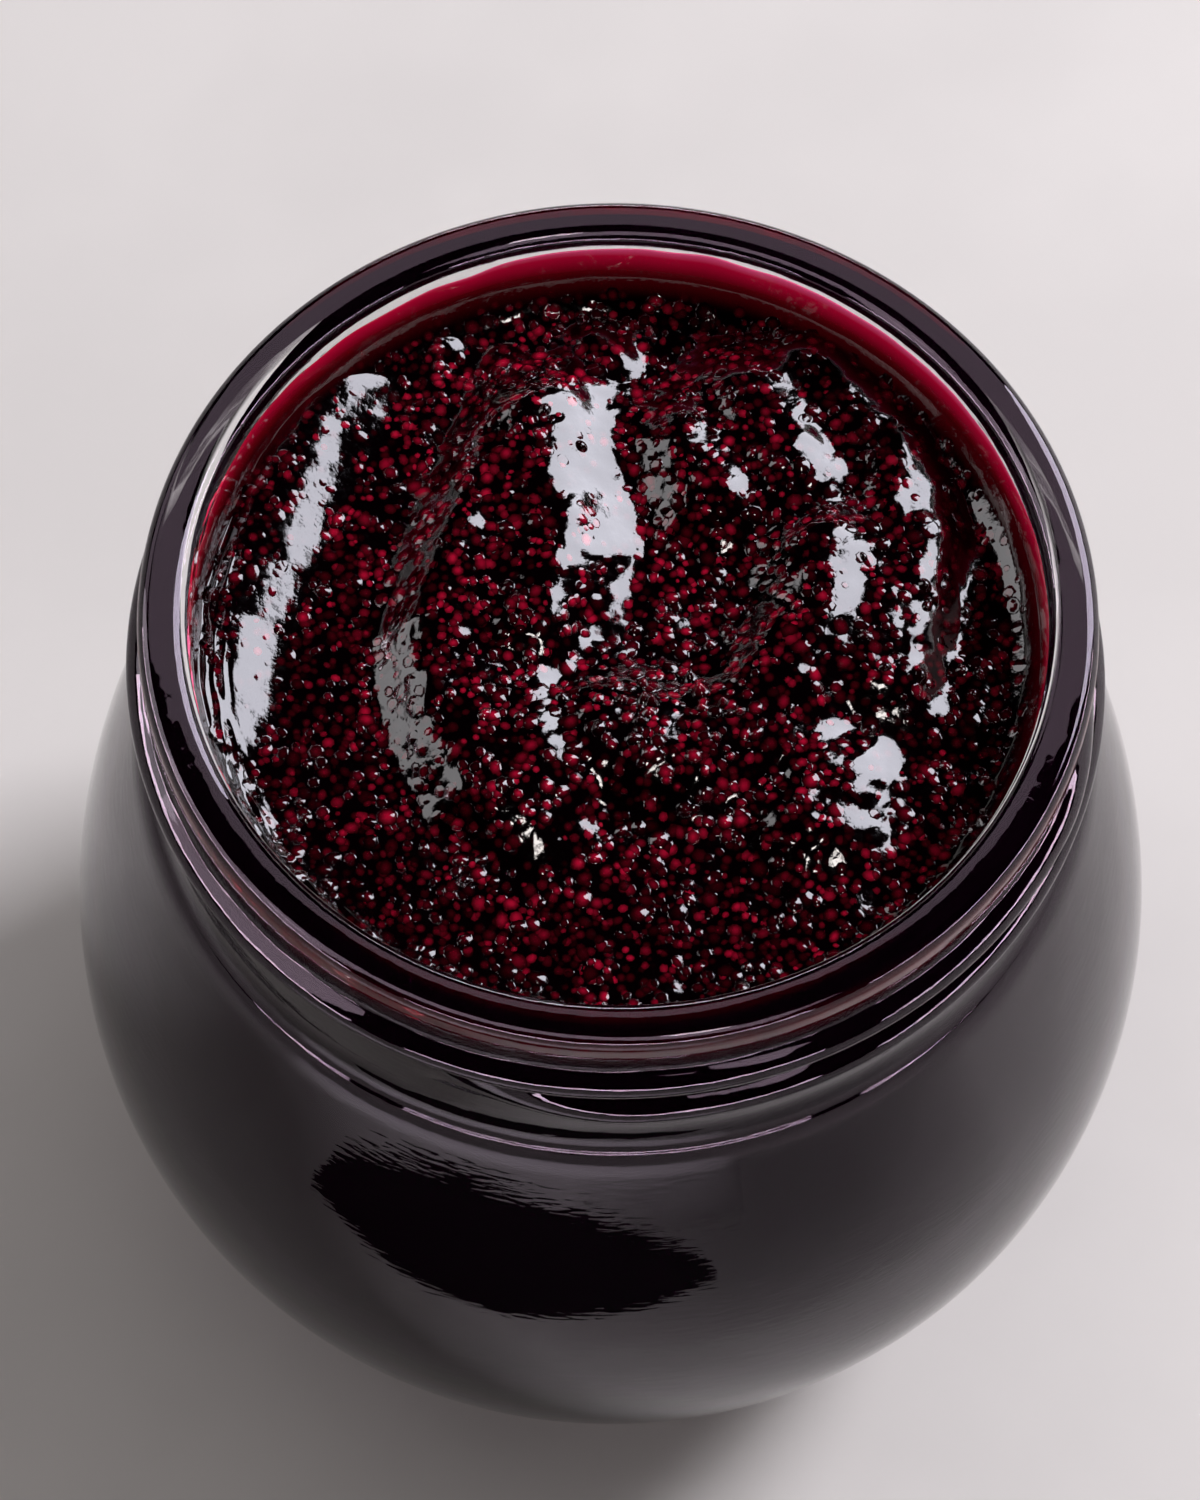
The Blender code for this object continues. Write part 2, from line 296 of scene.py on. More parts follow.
def waves(places, wavelength, seed):
    """Smooth noise of about -1 to 1: the sum of plane waves in random directions.

    The last axis of places is the position. Wavelengths vary by a third.
    """
    count = 18
    draw = np.random.default_rng(seed)
    direction = draw.normal(size=(count, places.shape[-1]))
    direction /= np.linalg.norm(direction, axis=1, keepdims=True)
    stretch = draw.uniform(0.72, 1.35, count)
    phase = draw.uniform(0.0, 2.0 * np.pi, count)
    total = np.zeros(places.shape[:-1])
    for aim, factor, start in zip(direction, stretch, phase):
        total += np.cos(places @ aim * (2.0 * np.pi / (wavelength * factor)) + start)
    return total / np.sqrt(count * 0.5) * 0.7


# Shape of the glass

def body(glass, height):
    """Radius of the body, and its change with height.

    It is belly - taper * t^2 + lean * t^3, with t the height over the belly in spans.
    """
    t = (height - glass.belly_height) / glass.belly_span
    radius = glass.belly_radius - glass.belly_taper * t ** 2 + glass.belly_lean * t ** 3
    return radius, (3.0 * glass.belly_lean * t ** 2 - 2.0 * glass.belly_taper * t) / glass.belly_span


def ellipse(centre, size, start, end, count):
    """Points on an arc of an ellipse: centre + size * (cos, sin), from start to end in degrees."""
    angle = np.radians(np.linspace(start, end, count))
    return np.stack((centre[0] + size[0] * np.cos(angle), centre[1] + size[1] * np.sin(angle)), -1)


def straight(first, last, count):
    """Points between two ends, both left out."""
    share = np.linspace(0.0, 1.0, count + 2)[1:-1, None]
    return np.asarray(first) * (1.0 - share) + np.asarray(last) * share


def heel(radius, height, slope, floor, count):
    """Circle arc that runs on from a leaning wall and ends level on the floor."""
    lean = np.arctan(slope)
    size = (height - floor) / (1.0 - np.sin(lean))
    centre = (radius - size * np.cos(lean), floor + size)
    return ellipse(centre, (size, size), -np.degrees(lean), -90.0, count)


def outside(glass, bottom, count):
    """Profile of the body's outside from under the neck down to a height."""
    height = np.linspace(glass.height - glass.shoulder_drop, bottom, count)
    return np.stack((body(glass, height)[0], height), -1)


def cavity(glass):
    """Profile of the hollow: centre of its floor, rounding, wall one thickness inside the body, mouth."""
    outer = outside(glass, glass.cavity_heel, 34)
    slope = body(glass, outer[:, 1])[1]
    run = np.hypot(1.0, slope)
    wall = outer + np.stack((-glass.wall / run, glass.wall * slope / run), -1)
    floor = glass.push_up + glass.floor_thickness
    corner = heel(*wall[-1], body(glass, glass.cavity_heel)[1], floor, 8)
    throat = (glass.mouth_radius, glass.height - glass.mouth_drop)
    level = straight((0.0, floor), corner[-1], 6)
    mouth = straight(throat, (glass.mouth_radius, glass.height - glass.lip_inner_round), 18)
    rise = np.concatenate((wall, corner[1:]))[::-1]
    return np.concatenate(([(0.0, floor)], level, rise, straight(rise[-1], throat, 4), [throat], mouth))


def rim(glass):
    """Profile over the rim: quarter arc, level crest, quarter arc, outer side."""
    inner, outer = glass.lip_inner_round, glass.lip_outer_round
    rise = ellipse((glass.mouth_radius + inner, glass.height - inner), (inner, inner), 180.0, 90.0, 10)
    fall = ellipse((glass.lip_radius - outer, glass.height - outer), (outer, outer), 90.0, 0.0, 9)
    foot = (glass.lip_radius, glass.height - glass.lip_depth)
    return np.concatenate((rise, straight(rise[-1], fall[0], 2), fall, straight(fall[-1], foot, 2), [foot]))


def neck(glass):
    """Profile of the neck: a small step under the rim, straight side, hollow flare to the shoulder."""
    flare = body(glass, glass.height - glass.shoulder_drop)[0] + 0.1 * MM
    foot = glass.height - glass.neck_drop
    hollow = ellipse(
        (flare, foot), (flare - glass.neck_radius, glass.shoulder_drop - glass.neck_drop), 180.0, 255.0, 12)
    under = (glass.neck_radius, glass.height - glass.lip_depth - 0.6 * MM)
    return np.concatenate(([under], straight(under, hollow[0], 66), hollow))


def base(glass):
    """Profile under the jar: heel arc, foot ring, push-up to the middle."""
    radius, slope = body(glass, glass.heel_height)
    arc = heel(radius, glass.heel_height, slope, 0.0, 8)
    inner = arc[-1, 0] - glass.foot_ring
    dome = np.linspace(0.0, 1.0, 9)[:, None]
    rise = np.concatenate((inner * (1.0 - dome), glass.push_up * np.sin(0.5 * np.pi * dome) ** 0.7), 1)
    return np.concatenate((arc[1:], rise))


def thread_relief(glass, angle, height):
    """Height of the screw thread over the neck.

    Each turn is a ridge (1 - u^2)^1.15 with u the height from its middle in half widths. Its
    middle falls by one pitch a turn, and it fades at both ends.
    """
    first = (glass.thread_start - angle) % (2.0 * np.pi) / (2.0 * np.pi)
    relief = np.zeros(np.broadcast(angle, height).shape)
    for lap in (0.0, 1.0):
        turn = first + lap
        part = turn / glass.thread_turns
        fade = smooth_step(np.minimum(part, 1.0 - part) / glass.thread_run_out)
        middle = glass.height - glass.thread_drop - glass.thread_pitch * turn
        across = (height - middle) / glass.thread_half_width
        relief += fade * np.clip(1.0 - across ** 2, 0.0, 1.0) ** 1.15
    return glass.thread_proud * relief


def glass_piece(glass):
    """The glass: its profile turned round the axis, with the thread pushed out of the neck."""
    side = outside(glass, glass.heel_height, 56)[1:]
    profile = np.concatenate((cavity(glass), rim(glass), neck(glass), side, base(glass)))
    angle = steps_round(glass.columns)
    height = profile[:, 1:]
    on_neck = (height < glass.height - glass.lip_depth - 0.5 * MM)
    on_neck &= (height > glass.height - glass.shoulder_drop) & (profile[:, :1] > glass.mouth_radius + MM)
    radius = profile[:, :1] + np.where(on_neck, thread_relief(glass, angle, height), 0.0)
    return many_round(GLASS_NAME, turned(radius, angle, height)[None])


# Shape of the syrup

def crest_distance(x, y, crest):
    """Distance to a bent line seen from above, and its side: 1 left of the run, -1 right.

    The distance is the least over the straight runs. The side is the mean of the runs' sines,
    each weighted by exp(-(its distance - the least) / 0.7 mm).
    """
    distance, side = [], []
    for (x0, y0), (x1, y1) in zip(crest, crest[1:]):
        run_x, run_y = x1 - x0, y1 - y0
        along = np.clip(((x - x0) * run_x + (y - y0) * run_y) / (run_x ** 2 + run_y ** 2), 0.0, 1.0)
        off_x, off_y = x - x0 - along * run_x, y - y0 - along * run_y
        distance.append(np.hypot(off_x, off_y))
        sine = (run_x * off_y - run_y * off_x) / np.hypot(run_x, run_y)
        side.append(sine / np.maximum(distance[-1], 1e-6))
    distance = np.array(distance)
    nearest = distance.min(0)
    weight = np.exp((nearest - distance) / 0.7)
    return nearest, (weight * side).sum(0) / weight.sum(0)


def fold_height(syrup, x, y):
    """Height of the folds: blend * log(1 + sum(exp(h / blend) - 1)), h = height * cos^2(pi/2 d^1.1).

    d is the distance from the crest in widths, and the width changes from one side to the other.
    """
    total = np.zeros(x.shape)
    for height, left, right, crest in FOLDS:
        distance, side = crest_distance(x / MM, y / MM, crest)
        width = right + (left - right) * smooth_step(side, -0.6, 0.6)
        across = np.clip(distance / width, 0.0, 1.0)
        rise = height * MM * np.cos(0.5 * np.pi * across ** 1.1) ** 2
        total += np.exp(rise / syrup.fold_blend) - 1.0
    return syrup.fold_blend * np.log1p(total)


def ripple_height(syrup, x, y):
    """Small ripples: waves of 5.5, 2.4 and 1.1 mm, calmer where a slow wave is low and on the left bank."""
    place = np.stack((x, y), -1)
    calm = 0.45 + 0.55 * smooth_step(waves(place, 14.0 * MM, 3), -0.6, 0.6)
    broad = waves(place, 5.5 * MM, 11)
    middle = waves(place, 2.4 * MM, 12)
    fine = waves(place, 1.1 * MM, 13)
    smooth_bank = 0.3 + 0.7 * smooth_step(x, -27.0 * MM, -15.0 * MM)
    return syrup.ripple * smooth_bank * (1.5 * broad + calm * (0.55 * middle + 0.22 * fine))


def flow_lines(x, y):
    """Fine lines drawn out along the left flank of the first fold, on its near half.

    They are 0.024 mm * sin of the distance from its crest in turns of 0.85 mm, where that
    distance is about 1 to 5 mm on its left and a slow noise is high.
    """
    distance, side = crest_distance(x / MM, y / MM, FOLDS[0][3])
    flank = band(distance, 0.8, 1.8, 4.2, 5.6) * smooth_step(-side, 0.2, 0.8)
    place = np.stack((x, y), -1)
    drawn = smooth_step(waves(place, 9.0 * MM, 14), -0.5, 0.4) * (1.0 - smooth_step(y, 2.0 * MM, 7.0 * MM))
    turn = distance / 0.85 + 0.5 * waves(place, 4.5 * MM, 15)
    return 0.024 * MM * flank * drawn * np.sin(2.0 * np.pi * turn)


def crinkles(glass, x, y):
    """Wet crinkles where the syrup meets the glass on the left and near the front.

    They are waves of 1 mm across the edge, drawn out to 5 mm along it and 0.11 mm high, in the
    outer 3.5 mm of the surface.
    """
    radius, angle = np.hypot(x, y), np.arctan2(y, x) % (2.0 * np.pi)
    turn = np.degrees(angle)
    part = band(turn, 150.0, 176.0, 262.0, 300.0)
    part *= smooth_step(radius, glass.mouth_radius - 4.0 * MM, glass.mouth_radius - 2.4 * MM)
    drawn_out = np.stack((radius, 0.2 * glass.mouth_radius * angle), -1)
    return 0.11 * MM * part * waves(drawn_out, 1.0 * MM, 16)


def surface_height(glass, syrup, x, y):
    """Height of the surface: level + the larger of folds and edge climb, + ripples, lines and crinkles."""
    radius = np.hypot(x, y)
    edge = np.clip((radius - glass.mouth_radius) / syrup.edge_width + 1.0, 0.0, 1.0)
    climb = syrup.edge_climb * edge ** 2.8
    ripples = ripple_height(syrup, x, y) * (1.0 - 0.7 * edge) + flow_lines(x, y) + crinkles(glass, x, y)
    return glass.height - syrup.level + np.maximum(fold_height(syrup, x, y), climb) + ripples


def film_top(glass, syrup, angle):
    """Height of the film's upper edge: even, with slow sways, and low and frayed on the left."""
    around = np.stack((np.cos(angle), np.sin(angle)), -1)
    sway = 0.28 * waves(around, 0.9, 21) + 0.10 * waves(around, 0.16, 22)
    turn = np.degrees(angle) % 360.0
    low = band(turn, 104.0, 112.0, 124.0, 170.0)
    left = band(turn, 150.0, 176.0, 236.0, 262.0)
    frayed = 0.45 * waves(around, 0.07, 23)
    near = 0.5 - 0.5 * np.cos(np.radians(turn - 75.0))
    return glass.height - syrup.film_drop + (sway - 0.6 * low - 0.6 * near + left * (frayed - 1.5)) * MM


def syrup_piece(glass, syrup):
    """The filling: surface rings, a wet film up the wall, then the side and floor just inside the glass.

    Rings lie closer together towards the edge. The film thins upwards as (1 - t)^0.7. Faces from
    its top down take the second material, of syrup seen through glass.
    """
    angle = steps_round(syrup.columns)
    mouth = glass.mouth_radius
    share = np.linspace(0.0, 1.0, syrup.rings)[:, None]
    flat_edge = mouth - syrup.film_thickness
    radius = flat_edge * (share * 0.55 + 0.45 * np.sin(0.5 * np.pi * share)) * np.ones_like(angle)
    x, y = radius * np.cos(angle), radius * np.sin(angle)
    z = surface_height(glass, syrup, x, y)
    top = film_top(glass, syrup, angle)
    step = np.linspace(0.0, 1.0, syrup.film_rows + 1)[1:, None]
    film_z = z[-1:] + (top - z[-1:]) * step
    film_r = mouth + syrup.overlap - (syrup.film_thickness + syrup.overlap) * (1.0 - step) ** 0.7
    side = cavity(glass)[::-1]
    side = side[(side[:, 1] < top.min() - 0.4 * MM) & (side[:, 0] > 0.0)][::2]
    floor = glass.push_up + glass.floor_thickness
    side_r = np.concatenate((side[:, :1] + syrup.overlap, [[0.0]]))
    side_z = np.concatenate((side[:, 1:], [[floor]]))
    side_z[side_z < floor + 0.01 * MM] -= syrup.overlap
    every = np.ones_like(angle)
    radius = np.concatenate((radius, film_r * every, side_r * every))
    height = np.concatenate((z, film_z, side_z * every))
    piece = many_round("syrup_mass", turned(radius, angle, height)[None])
    rows = len(z)
    film_end = rows + syrup.film_rows
    thin = np.zeros(height.shape)
    # The "thin" values give colour and a painted glow: the syrup is redder where it lies thin at the glass
    # and in the film, and the glow paints light that comes in through the glass.
    foot, behind_film, painted_shade_share, painted_light_turn = 0.32, 0.70, 0.32, np.radians(68.0)
    thin[:rows] = foot * smooth_step(radius[:rows], mouth - 2.6 * MM, mouth - 0.3 * MM)
    thin[rows:film_end] = foot + (1.0 - foot) * step
    thin[film_end:] = behind_film * smooth_step(height[film_end:], glass.height - 9.0 * MM, top)
    # Painted light: the film and edge glow brightest on the side facing the window, at 68 degrees, and are
    # painted darker round the other side.
    bright = painted_shade_share + (1.0 - painted_shade_share) * (0.5 + 0.5 * np.cos(angle - painted_light_turn))
    add_many(piece, "thin", (thin * bright)[None])
    behind = np.zeros(len(piece.data.polygons), np.int32)
    behind[syrup.columns * (film_end - 1):] = 1
    piece.data.polygons.foreach_set("material_index", behind)
    return piece


# Seeds

def scattered(spacing, reach, seed):
    """Places on the surface: a triangular grid, each moved at random."""
    draw = np.random.default_rng(seed)
    count = int(2.4 * reach / spacing)
    row, column = np.mgrid[-count:count, -count:count]
    row_step, stray, bare = 0.866, 0.42, 0.08  # in spacings, and the share of places left bare
    x = (column + 0.5 * (row % 2)) * spacing
    y = row * spacing * row_step
    x = x + draw.uniform(-stray, stray, x.shape) * spacing
    y = y + draw.uniform(-stray, stray, y.shape) * spacing
    keep = (np.hypot(x, y) < reach) & (draw.random(x.shape) > bare)
    return np.stack((x[keep], y[keep]), -1)


def surface_normals(glass, syrup, x, y):
    """Unit normals of the surface, from differences over 0.3 mm."""
    step = 0.3 * MM
    run_x = surface_height(glass, syrup, x + step, y) - surface_height(glass, syrup, x - step, y)
    run_y = surface_height(glass, syrup, x, y + step) - surface_height(glass, syrup, x, y - step)
    normal = np.stack((-run_x / (2.0 * step), -run_y / (2.0 * step), np.ones_like(x)), -1)
    return normal / np.linalg.norm(normal, axis=-1, keepdims=True)


def caps(glass, syrup, name, place, reach, rise, rows, columns, seed, fullness=1.0):
    """Low caps on the surface, one for each place, as one mesh with their own height as attribute "cap".

    At d reaches from its middle a cap is rise * cos^2(pi/2 * d^fullness) over the surface, along
    the surface's normal at its middle. Its foot lies 0.02 mm under the surface, and one point
    below closes it. Each cap is an ellipse turned at random.
    """
    draw = np.random.default_rng(seed)
    x, y = place.T
    up = surface_normals(glass, syrup, x, y)[:, None, None]
    turn = draw.uniform(0.0, np.pi, len(x))
    aside = np.cross(up, np.stack((np.cos(turn), np.sin(turn), np.zeros(len(x))), -1)[:, None, None])
    aside /= np.linalg.norm(aside, axis=-1, keepdims=True)
    ahead = np.cross(aside, up)
    stretch = draw.uniform(0.85, 1.18, len(x))[:, None, None]
    size = reach[:, None, None]
    distance, angle = cap_grid(rows, columns)
    across = (size * stretch * distance * np.cos(angle))[..., None]
    along = (size / stretch * distance * np.sin(angle))[..., None]
    middle = np.stack((x, y, surface_height(glass, syrup, x, y)), -1)[:, None, None]
    shape = middle + aside * across + ahead * along
    shape[..., 2] = surface_height(glass, syrup, shape[..., 0], shape[..., 1]) - CAP_SINK
    bell = np.cos(0.5 * np.pi * distance ** fullness) ** 2 * np.ones_like(across[..., 0])
    bell[:, -1] = 0.0
    shape += up * (rise[:, None, None] * bell)[..., None]
    shape[:, -1] -= 0.3 * up[:, 0] * size[..., None][:, 0]
    piece = many_round(name, shape)
    add_many(piece, "cap", bell)
    return piece


def seed_layer(glass, syrup, spread, name, spacing, reach, rise, rows, columns, seed):
    """One layer of seeds, each with its own size, and its own brightness as attribute "tone", which is
    painted darker towards the sides and the front.

    Seeds stand less proud where syrup has pooled and on steep flanks, and prouder in the heap near
    the middle and behind the folds. Those that have sunk out of sight, most of them on steep
    flanks, are left out.
    """
    place = scattered(spacing, glass.mouth_radius - 1.5 * MM, seed)
    x, y = place.T / MM
    draw = np.random.default_rng(seed + 1)
    count = len(place)
    size = reach * np.exp(spread * np.clip(draw.normal(size=count), -1.8, 1.8))
    pooled = smooth_step(waves(place, 7.0 * MM, 31) + 0.5 * waves(place, 2.5 * MM, 32), -0.3, 0.9)
    normal = surface_normals(glass, syrup, *place.T)
    behind = smooth_step(normal[:, 1], 0.10, 0.30)
    steep = (1.0 - smooth_step(normal[:, 2], 0.88, 0.985)) * smooth_step(normal[:, 2], 0.855, 0.895)
    steep *= (1.0 - behind) * np.maximum(smooth_step(normal[:, 0], 0.0, 0.15), 1.0 - smooth_step(y, 0.0, 8.0))
    flank = smooth_step(normal @ WINDOW_FACING, 0.968, 0.988)
    steep = np.maximum(steep, flank * smooth_step(waves(place, 4.5 * MM, 35), -1.0, 0.0))
    heap = np.exp(-((x - 4.0) ** 2 + (y + 8.0) ** 2) / 90.0)
    proud = rise * (0.15 + 2.6 * draw.random(count) ** 4) * (1.0 - 0.6 * pooled) * (1.0 - 0.8 * steep)
    seen = draw.random(count) >= 0.22 + 0.68 * steep
    proud = 0.031 * MM + proud * (1.0 + 2.6 * heap + 0.6 * behind)
    piece = caps(glass, syrup, name, place[seen], size[seen], proud[seen], rows, columns, seed + 2)
    drift = smooth_step(waves(place, 8.0 * MM, 33) + 0.4 * waves(place, 2.2 * MM, 34), -1.1, 0.9)
    # Painted shade: seeds are darker towards both sides and towards the front.
    sides = smooth_step(np.abs(x + 0.3 * y + 2.0), 10.0, 32.0)
    near = smooth_step(-y, 12.0, 32.0)
    tone = 1.35 * draw.beta(1.25, 2.9, count) * (0.45 + 0.55 * drift)
    tone *= (1.0 - 0.5 * sides) * (1.0 - 0.4 * near)
    add_many(piece, "tone", tone[seen, None, None] * np.ones((1, rows + 2, columns)))
    return piece


def bubbles_piece(glass, syrup, seeds):
    """Bubbles at rest in the surface: round domes, most of them in one drift on the right."""
    draw = np.random.default_rng(seeds.seed + 40)
    near = draw.normal((27.0, 1.5), (2.6, 4.6), (seeds.bubbles, 2))
    apart = draw.uniform(-24.0, 24.0, (seeds.bubbles, 2))
    place = np.where(draw.random((seeds.bubbles, 1)) < 0.7, near, apart) * MM
    size = draw.uniform(0.42, 0.80, seeds.bubbles) * MM
    piece = caps(glass, syrup, "syrup_bubbles", place, size, size * 0.62, 6, 18, seeds.seed + 41, 1.7)
    # A low "thin" value gives the bubbles a faint red and a faint painted glow.
    add_many(piece, "thin", np.full((seeds.bubbles, 8, 18), 0.12))
    return piece


def smears_piece(glass, seeds):
    """Wet smears on the glass over the filling: low lenses along the wall on the left.

    At u and w half lengths and half widths from its middle a smear is bulge * cos^2(pi/2 * d)
    thick, d = hypot(u, w), and its middle line waves up and down as a sine of u.
    """
    draw = np.random.default_rng(seeds.seed + 50)
    shape = (seeds.smears, 1, 1)
    turn = np.radians(draw.uniform(158.0, 248.0, shape))
    drop, half_length, half_width, bulge, sway = (
        draw.uniform(low, high, shape) * MM
        for low, high in ((1.9, 5.2), (0.8, 3.6), (0.14, 0.42), (0.10, 0.26), (0.08, 0.35)))
    rows, columns = 4, 20
    distance, angle = cap_grid(rows, columns)
    along, across = distance * np.cos(angle), distance * np.sin(angle)
    bell = np.cos(0.5 * np.pi * distance) ** 2 * np.ones_like(angle)
    bell[:, -1] = -0.8
    radius = glass.mouth_radius + CAP_SINK - bulge * bell
    azimuth = turn - along * half_length / glass.mouth_radius
    wave = np.sin(along * half_length * draw.uniform(1.2, 3.4, shape) / MM + draw.uniform(0.0, 6.0, shape))
    height = glass.height - drop + half_width * across + sway * wave
    height = height + draw.uniform(-0.3, 0.3, shape) * half_length * along
    piece = many_round("syrup_smears", turned(radius, azimuth, height))
    # The "thin" values make the smears pink to red, with a painted glow of light through the glass.
    add_many(piece, "thin", draw.uniform(0.35, 1.0, shape) * np.ones((1, rows + 2, columns)))
    return piece


# Finishes

class Tree:
    """Short calls for building a node tree."""

    def __init__(self, tree):
        self.tree = tree

    def add(self, kind, values=None, **settings):
        """A node with its settings and with values for its inputs."""
        made = self.tree.nodes.new(kind)
        for name, value in settings.items():
            setattr(made, name, value)
        self.feed(made.inputs, values or {})
        return made

    def feed(self, sockets, values):
        """Links each socket to its value, or sets it where the value is plain."""
        for name, value in values.items():
            if isinstance(value, bpy.types.NodeSocket):
                self.tree.links.new(value, sockets[name])
            else:
                sockets[name].default_value = value

    def shade(self, values):
        """Feeds the material's own shader."""
        self.feed(self.tree.nodes["Principled BSDF"].inputs, values)

    def math(self, operation, first, second):
        """Result of a Math node."""
        return self.add("ShaderNodeMath", {0: first, 1: second}, operation=operation).outputs[0]

    def mix(self, share, first, second):
        """Colour between two colours."""
        return self.add("ShaderNodeMix", {"Factor": share, 6: first, 7: second}, data_type="RGBA").outputs[2]

    def value(self, name):
        """A number kept on the piece's points."""
        return self.add("ShaderNodeAttribute", attribute_name=name).outputs["Fac"]

    def noise(self, where, scale, detail):
        """Smooth noise from 0 to 1."""
        values = {"Vector": where, "Scale": scale, "Detail": detail}
        return self.add("ShaderNodeTexNoise", values).outputs[0]

    def bump(self, height, strength, distance):
        """Normal of a surface with a height in mm."""
        values = {"Height": height, "Strength": strength, "Distance": distance * MM}
        return self.add("ShaderNodeBump", values).outputs[0]

    def span(self, value, low, high, to_low=0.0, to_high=1.0):
        """Value mapped smoothly from one range to another, held at the ends."""
        values = {"Value": value, "From Min": low, "From Max": high, "To Min": to_low, "To Max": to_high}
        return self.add("ShaderNodeMapRange", values, interpolation_type="SMOOTHSTEP").outputs[0]

    def place(self, across=1.0, upright=1.0):
        """Object coordinates in mm, times a scale across and one upright."""
        where = self.add("ShaderNodeTexCoord").outputs["Object"]
        size = (across / MM, across / MM, upright / MM)
        return self.add("ShaderNodeMapping", {"Vector": where, "Scale": size}).outputs[0]

    def ramp(self, value, stops):
        """Colour between stops, each a place from 0 to 1 and a linear colour."""
        made = self.add("ShaderNodeValToRGB", {"Fac": value})
        points = made.color_ramp.elements
        while len(points) < len(stops):
            points.new(0.5)
        for point, (place, shade) in zip(points, stops):
            point.position = place
            point.color = opaque(shade)
        return made.outputs["Color"]


def opaque(value, share=1.0):
    """A linear colour, or a share of it, with alpha 1."""
    return (*(share * part for part in value), 1.0)


def finish(name):
    """A new node material and its tree."""
    made = bpy.data.materials.new(name)
    made.use_nodes = True
    return made, Tree(made.node_tree)


def wavy_group():
    """Group: slow swells and finer dents as a height, for poured or pressed surfaces."""
    group = bpy.data.node_groups.new("wavy surface", "ShaderNodeTree")
    for way, *labels in (("INPUT", "Swell Scale", "Dent Scale", "Dent Share"), ("OUTPUT", "Height", "Mask")):
        for label in labels:
            group.interface.new_socket(label, in_out=way, socket_type="NodeSocketFloat")
    tree = Tree(group)
    given = tree.add("NodeGroupInput").outputs
    where = tree.place()
    swell = tree.noise(where, given["Swell Scale"], 1.0)
    dent = tree.noise(where, given["Dent Scale"], 2.0)
    height = tree.math("ADD", swell, tree.math("MULTIPLY", dent, given["Dent Share"]))
    tree.add("NodeGroupOutput", {"Height": height, "Mask": tree.span(dent, 0.45, 0.7)})
    return group


def wavy_surface(tree, swell, dent, share):
    """Height and mask from the group, with its own scales and share of dents."""
    group = bpy.data.node_groups.get("wavy surface") or wavy_group()
    values = {"Swell Scale": swell, "Dent Scale": dent, "Dent Share": share}
    return tree.add("ShaderNodeGroup", values, node_tree=group).outputs


def speckled(tree, dark, red):
    """Colour of dark syrup with seeds below its surface, as soft red spots."""
    where = tree.place()
    cells = tree.add("ShaderNodeTexVoronoi", {"Vector": where, "Scale": 1.0 / 1.15})
    spot = tree.span(cells.outputs["Distance"], 0.12, 0.46, 1.0, 0.0)
    split = tree.add("ShaderNodeSeparateColor", {"Color": cells.outputs["Color"]}).outputs[0]
    drift = tree.noise(where, 0.16, 2.0)
    strength = tree.math(
        "MULTIPLY", tree.span(split, 0.1, 1.0, 0.08, 1.0), tree.span(drift, 0.3, 0.7, 0.35, 1.0))
    mask = tree.math("MULTIPLY", tree.math("MULTIPLY", spot, strength), 0.30)
    return tree.mix(mask, opaque(dark), opaque(red))


def glass_finish(glass):
    """Clear pressed glass with slow waves, faint streaks round it and smears."""
    made, tree = finish("clear_glass")
    wavy = wavy_surface(tree, 0.12, 0.9, 0.05)
    streaks = tree.math("MULTIPLY", tree.noise(tree.place(0.45, 2.0), 1.0, 1.0), 0.20)
    tree.shade({
        "Base Color": tree.mix(wavy["Mask"], opaque(glass.tint), opaque(glass.tint, 0.97)),
        "Roughness": tree.span(wavy["Mask"], 0.0, 1.0, 0.012, 0.03),
        "Normal": tree.bump(tree.math("ADD", wavy["Height"], streaks), 0.25, 0.25),
        "Transmission Weight": 1.0,
        "Specular Tint": (1.0, 0.87, 1.0, 1.0),
        "IOR": 1.5,
    })
    return made


def wet_gloss(tree, swell, dent, share, strength, distance, roughest):
    """Wet gloss: a thin coat over fine waves, whose dents are a little rougher."""
    wavy = wavy_surface(tree, swell, dent, share)
    tree.shade({
        "Normal": tree.bump(wavy["Height"], strength, distance),
        "Roughness": tree.span(wavy["Mask"], 0.0, 1.0, 0.05, roughest),
        "IOR": 1.45,
        "Coat Weight": 0.5,
        "Coat Roughness": 0.03,
    })


def thin_colour_and_painted_glow(tree, syrup, deep):
    """Colour of the syrup by how thinly it lies, and how far it glows there: the glow is painted light coming
    in through the glass.
    """
    thin = tree.value("thin")
    stops = ((0.0, deep), (0.42, syrup.shallow), (0.80, syrup.film), (1.0, syrup.thin))
    return tree.span(thin, 0.05, 0.45), tree.ramp(thin, stops)


def syrup_finish(syrup):
    """Dark wet syrup with sunken seeds, crimson where it lies thin on the glass, with a painted glow there.
    """
    made, tree = finish("elderberry_syrup")
    painted_glow, shade = thin_colour_and_painted_glow(tree, syrup, syrup.dark)
    tree.shade({
        "Base Color": tree.mix(painted_glow, speckled(tree, syrup.dark, syrup.glow), shade),
        # Painted glow: emission where the syrup lies thin stands in for light coming in through the glass.
        "Emission Color": tree.mix(painted_glow, BLACK, shade),
        "Emission Strength": 0.6,
    })
    wet_gloss(tree, 0.35, 1.6, 0.35, 0.35, 0.2, 0.11)
    return made


